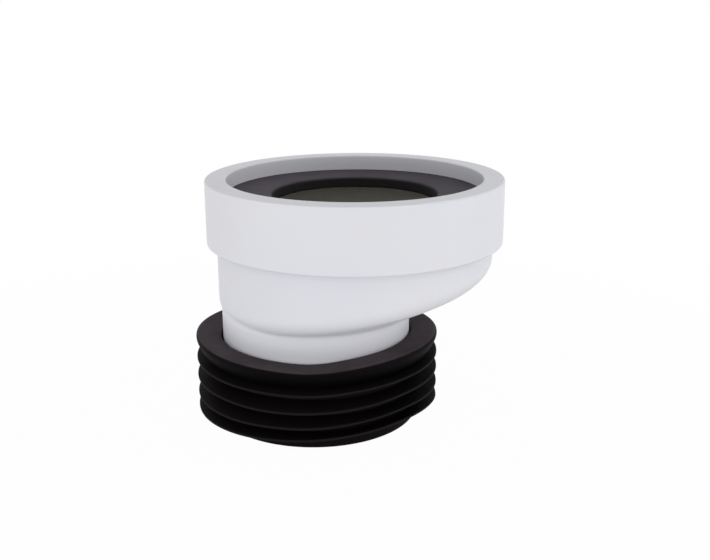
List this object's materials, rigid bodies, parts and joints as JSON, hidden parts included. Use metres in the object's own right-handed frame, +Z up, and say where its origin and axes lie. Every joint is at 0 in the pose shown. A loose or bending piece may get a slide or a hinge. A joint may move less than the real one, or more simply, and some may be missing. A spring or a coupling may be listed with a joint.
{
  "type": "toilet pan connector",
  "caption": "Offset toilet pan connector: white moulded body with an eccentric taper, a clipped collar holding a rubber pan seal, and a finned rubber seal for the drain pipe.",
  "frame": {"origin": "on the spigot's axis, in the plane of the drain seal's foot", "axes": "+Z up along the spigot, +X from the spigot's axis towards the socket's axis"},
  "size_m": [0.1479, 0.14, 0.1128],
  "materials": {
    "white_plastic": "smooth satin white moulded polypropylene",
    "black_rubber": "smooth matt black rubber"
  },
  "bodies": {
    "root": {"offset_body": "white_plastic", "socket_collar": "white_plastic", "pan_seal": "black_rubber", "finned_seal": "black_rubber"}
  },
  "joints": []
}
